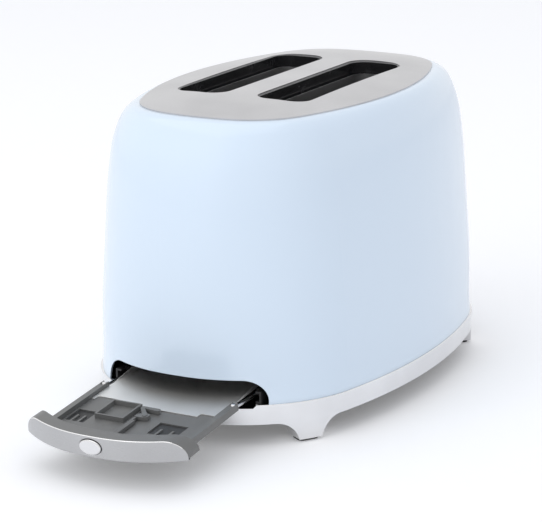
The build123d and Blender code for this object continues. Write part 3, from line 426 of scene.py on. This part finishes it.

# Plate below the tray's pockets, widened so that it reaches the rails. It closes the pockets, and its
# black is painted shade for their insides
pocket_plate = eased_edges("pocket_plate", "pocket_shade_plate", "tray", width=0.0002)
pocket_plate.data.materials.append(FINISHES["cover_black"])
plate_widening = 1.06
for vertex in pocket_plate.data.vertices:
    vertex.co.y *= plate_widening

# Crumb pan: the front ends of its side walls lean back, so that the walls rise slowly from its floor
crumb_pan = eased_edges("crumb_pan", "crumb_pan_sheet", "tray", width=0.0001)
crumb_pan.data.materials.append(FINISHES["pan_sheet"])
droop = math.radians(5.8)
tray_inward = Vector((math.cos(droop), 0.0, math.sin(droop)))
tray_upward = Vector((-math.sin(droop), 0.0, math.cos(droop)))
droop_axis = Vector((-0.126075, 0.0, 0.029))
wall_front = 0.012
wall_lean = 0.060
top_margin = 0.001
wall_top = max((vertex.co - droop_axis).dot(tray_upward) for vertex in crumb_pan.data.vertices)
for vertex in crumb_pan.data.vertices:
    place = vertex.co - droop_axis
    if place.dot(tray_inward) < wall_front and place.dot(tray_upward) > wall_top - top_margin:
        vertex.co += tray_inward * wall_lean

# Tray button: bright at its finger end, with a moulded stem behind
finger_depth = 0.004
stem_blend = 0.0002
stem_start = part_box("tray_button")[0][0] + finger_depth
finger_bright, stem_grey = (0.76, 0.76, 0.77), (0.13, 0.13, 0.128)
button_finish, button_tree, button_shader = blank("tray_button_finish", finger_bright, 1.0)
button_lines = place_group(button_tree, LINES, Stretch=(1.0, 4.0, 4.0), Scale=300.0)
button_axes = button_tree.nodes.new("ShaderNodeSeparateXYZ")
button_tree.links.new(object_place(button_tree), button_axes.inputs["Vector"])
stem_mask = spread(button_tree, button_axes.outputs["X"], stem_start, stem_start + stem_blend)
tint(button_tree, button_shader, stem_mask, finger_bright, stem_grey)
button_tree.links.new(spread(button_tree, stem_mask, 0.0, 1.0, 1.0, 0.0), button_shader.inputs["Metallic"])
rough_between(button_tree, button_shader, stem_mask, (0.12, 0.5))
relief(button_tree, button_shader, button_lines.outputs["Lines"], strength=0.1, depth=0.00002)
nodes["tray_button"].data.materials[0] = button_finish

# Return springs of the lever's carriage. On the toaster they shorten by its travel; here they keep one
# length on the housing
spring_low, spring_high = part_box("carriage_springs")
spring_radius = (spring_high[0] - spring_low[0]) / 2
spring_x = (spring_high[0] + spring_low[0]) / 2
spring_wire = 0.0007
spring_turns = 24
for side, spring_y in (("left", spring_high[1] - spring_radius), ("right", spring_low[1] + spring_radius)):
    spring = wound_spring(
        "return_spring_" + side, (spring_x, spring_y), spring_low[2], spring_high[2],
        spring_radius, spring_wire, spring_turns
    )
    spring.data.materials.append(FINISHES["steel_wire"])
    stand_for(spring, "carriage_springs", "housing")
    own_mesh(spring)


# Floor, room, lamps and camera

def seen_rays(tree):
    """Which rays see the white surroundings: camera rays alone, and camera or mirrored rays."""
    path = tree.nodes.new("ShaderNodeLightPath")
    camera_ray = path.outputs["Is Camera Ray"]
    return camera_ray, joined(tree, "MAXIMUM", camera_ray, path.outputs["Is Glossy Ray"])


# Paper floor. It looks a little whiter than the lamps make it, and from below it isn't there
floor_half_width = 6.0
floor_gap = 0.0002
floor_lift = 0.15
floor_builder = bmesh.new()
bmesh.ops.create_grid(floor_builder, x_segments=8, y_segments=8, size=floor_half_width)
studio_floor = new_piece("studio_floor", floor_builder)
studio_floor.location = (0.0, 0.0, cad_box[0][2] - floor_gap)
floor_material, floor_tree, floor_shader = blank("white_paper_floor", (0.90, 0.90, 0.905), 0.0)
floor_grain = place_group(floor_tree, GRAIN, Scale=400.0)
tint(floor_tree, floor_shader, floor_grain.outputs["Dust"], (0.91, 0.91, 0.915), (0.89, 0.89, 0.895))
floor_shader.inputs["Roughness"].default_value = 0.85
camera_ray, camera_or_mirrored = seen_rays(floor_tree)
floor_glow = floor_tree.nodes.new("ShaderNodeEmission")
floor_lifted = floor_tree.nodes.new("ShaderNodeAddShader")
floor_clear = floor_tree.nodes.new("ShaderNodeBsdfTransparent")
floor_choice = floor_tree.nodes.new("ShaderNodeMixShader")
floor_below = floor_tree.nodes.new("ShaderNodeNewGeometry").outputs["Backfacing"]
floor_output = floor_tree.nodes["Material Output"]
for source, socket in (
    (joined(floor_tree, "MULTIPLY", camera_or_mirrored, floor_lift), floor_glow.inputs["Strength"]),
    (floor_shader.outputs["BSDF"], floor_lifted.inputs[0]),
    (floor_glow.outputs["Emission"], floor_lifted.inputs[1]),
    (joined(floor_tree, "MULTIPLY", floor_below, camera_ray), floor_choice.inputs["Fac"]),
    (floor_lifted.outputs["Shader"], floor_choice.inputs[1]),
    (floor_clear.outputs["BSDF"], floor_choice.inputs[2]),
    (floor_choice.outputs["Shader"], floor_output.inputs["Surface"]),
):
    floor_tree.links.new(source, socket)
studio_floor.data.materials.append(floor_material)

# Room: soft light from all round, which looks white to the camera and in bright metal
world = bpy.data.worlds.new("studio_room")
bpy.context.scene.world = world
world.use_nodes = True
room = world.node_tree
room_light = room.nodes["Background"]
room_light.inputs["Color"].default_value = (0.93, 0.95, 1.0, 1.0)
room_light.inputs["Strength"].default_value = 0.80
room_white = room.nodes.new("ShaderNodeBackground")
room_white.inputs["Color"].default_value = (1.0, 1.0, 1.0, 1.0)
room_choice = room.nodes.new("ShaderNodeMixShader")
camera_ray, camera_or_mirrored = seen_rays(room)
room.links.new(camera_or_mirrored, room_choice.inputs["Fac"])
room.links.new(room_light.outputs["Background"], room_choice.inputs[1])
room.links.new(room_white.outputs["Background"], room_choice.inputs[2])
room.links.new(room_choice.outputs["Shader"], room.nodes["World Output"].inputs["Surface"])


def soft_lamp(name, place, target, size, power, mirrored):
    """A rectangular lamp turned to a target. Unless it is mirrored, no gloss on the object shows it."""
    lamp = bpy.data.lights.new(name, "AREA")
    lamp.shape = "RECTANGLE"
    lamp.size, lamp.size_y = size
    lamp.energy = power
    holder = bpy.data.objects.new(name, lamp)
    holder.location = place
    holder.visible_glossy = mirrored
    holder.rotation_euler = (Vector(target) - Vector(place)).to_track_quat("-Z", "Y").to_euler()
    bpy.context.collection.objects.link(holder)


soft_lamp("overhead_softbox", (-0.1, 0.4, 2.2), (0.1, 0.1, 0.1), (2.6, 2.2), 9.0, True)
soft_lamp("left_softbox", (-1.9, 0.6, 0.9), (0.0, 0.0, 0.1), (1.6, 1.6), 11.0, False)
soft_lamp("front_softbox", (-0.3, -1.9, 1.1), (0.05, 0.0, 0.1), (1.6, 1.2), 1.0, False)

# Camera at the photograph's angle: it looks along the yaw, down by the pitch, with a slight roll
camera_place = Vector((-1.2578, -0.6993, 0.4770))
yaw = math.radians(29.02)
pitch = math.radians(15.32)
roll = -0.010
forward = Vector((math.cos(yaw) * math.cos(pitch), math.sin(yaw) * math.cos(pitch), -math.sin(pitch)))
across = Vector((math.sin(yaw), -math.cos(yaw), 0.0))
upward = across.cross(forward)
camera_right = across * math.cos(roll) + upward * math.sin(roll)
camera_up = upward * math.cos(roll) - across * math.sin(roll)
camera_turn = Matrix((camera_right, camera_up, -forward)).transposed()
lens = bpy.data.cameras.new("photo_camera")
lens.sensor_fit = "HORIZONTAL"
lens.sensor_width = 36.0
lens.lens = 154.4
photo_camera = bpy.data.objects.new("photo_camera", lens)
photo_camera.matrix_world = Matrix.Translation(camera_place) @ camera_turn.to_4x4()
bpy.context.collection.objects.link(photo_camera)
bpy.context.scene.camera = photo_camera
bpy.context.scene.view_settings.view_transform = "Standard"
